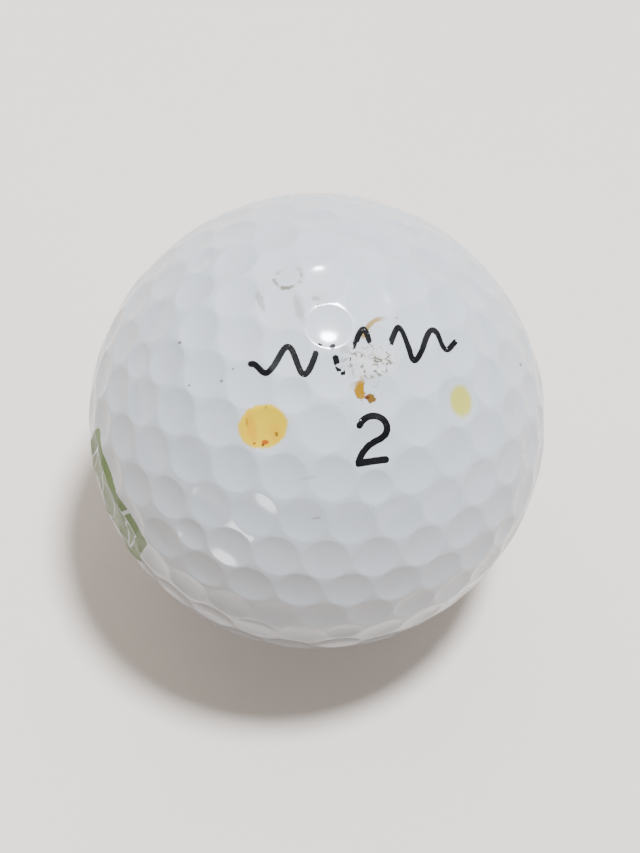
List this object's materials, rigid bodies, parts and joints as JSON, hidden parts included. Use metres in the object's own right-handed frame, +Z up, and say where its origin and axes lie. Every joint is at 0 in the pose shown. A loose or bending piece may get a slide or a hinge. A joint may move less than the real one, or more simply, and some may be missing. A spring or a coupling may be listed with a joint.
{
  "type": "golf ball",
  "caption": "Dimpled white ball with a solid rubber core, two pressed core shells, a thin casing and a cast cover in two halves, for play with a club.",
  "frame": {"origin": "the ball's centre", "axes": "+Z is up as the ball lies on a level floor, -Y faces the side with the play number, +X is to the right of someone who looks along +Y"},
  "size_m": [0.0426, 0.0426, 0.0426],
  "materials": {
    "inner_core_rubber": "matt solid polybutadiene rubber, fine flow marks from the press",
    "outer_core_rubber": "matt pressed polybutadiene rubber, firmer than the inner core",
    "mantle_ionomer": "satin, slightly see-through ionomer casing",
    "cover_urethane": "white cast urethane under a clear gloss coat, scuffed and stained in places",
    "black_ink": "black pad-printed ink, partly rubbed off",
    "green_ink": "green pad-printed ink"
  },
  "bodies": {
    "root": {"inner_core": "inner_core_rubber", "outer_core_upper": "outer_core_rubber", "outer_core_lower": "outer_core_rubber", "mantle_upper": "mantle_ionomer", "mantle_lower": "mantle_ionomer", "cover_upper": "cover_urethane", "cover_lower": "cover_urethane"}
  },
  "joints": []
}
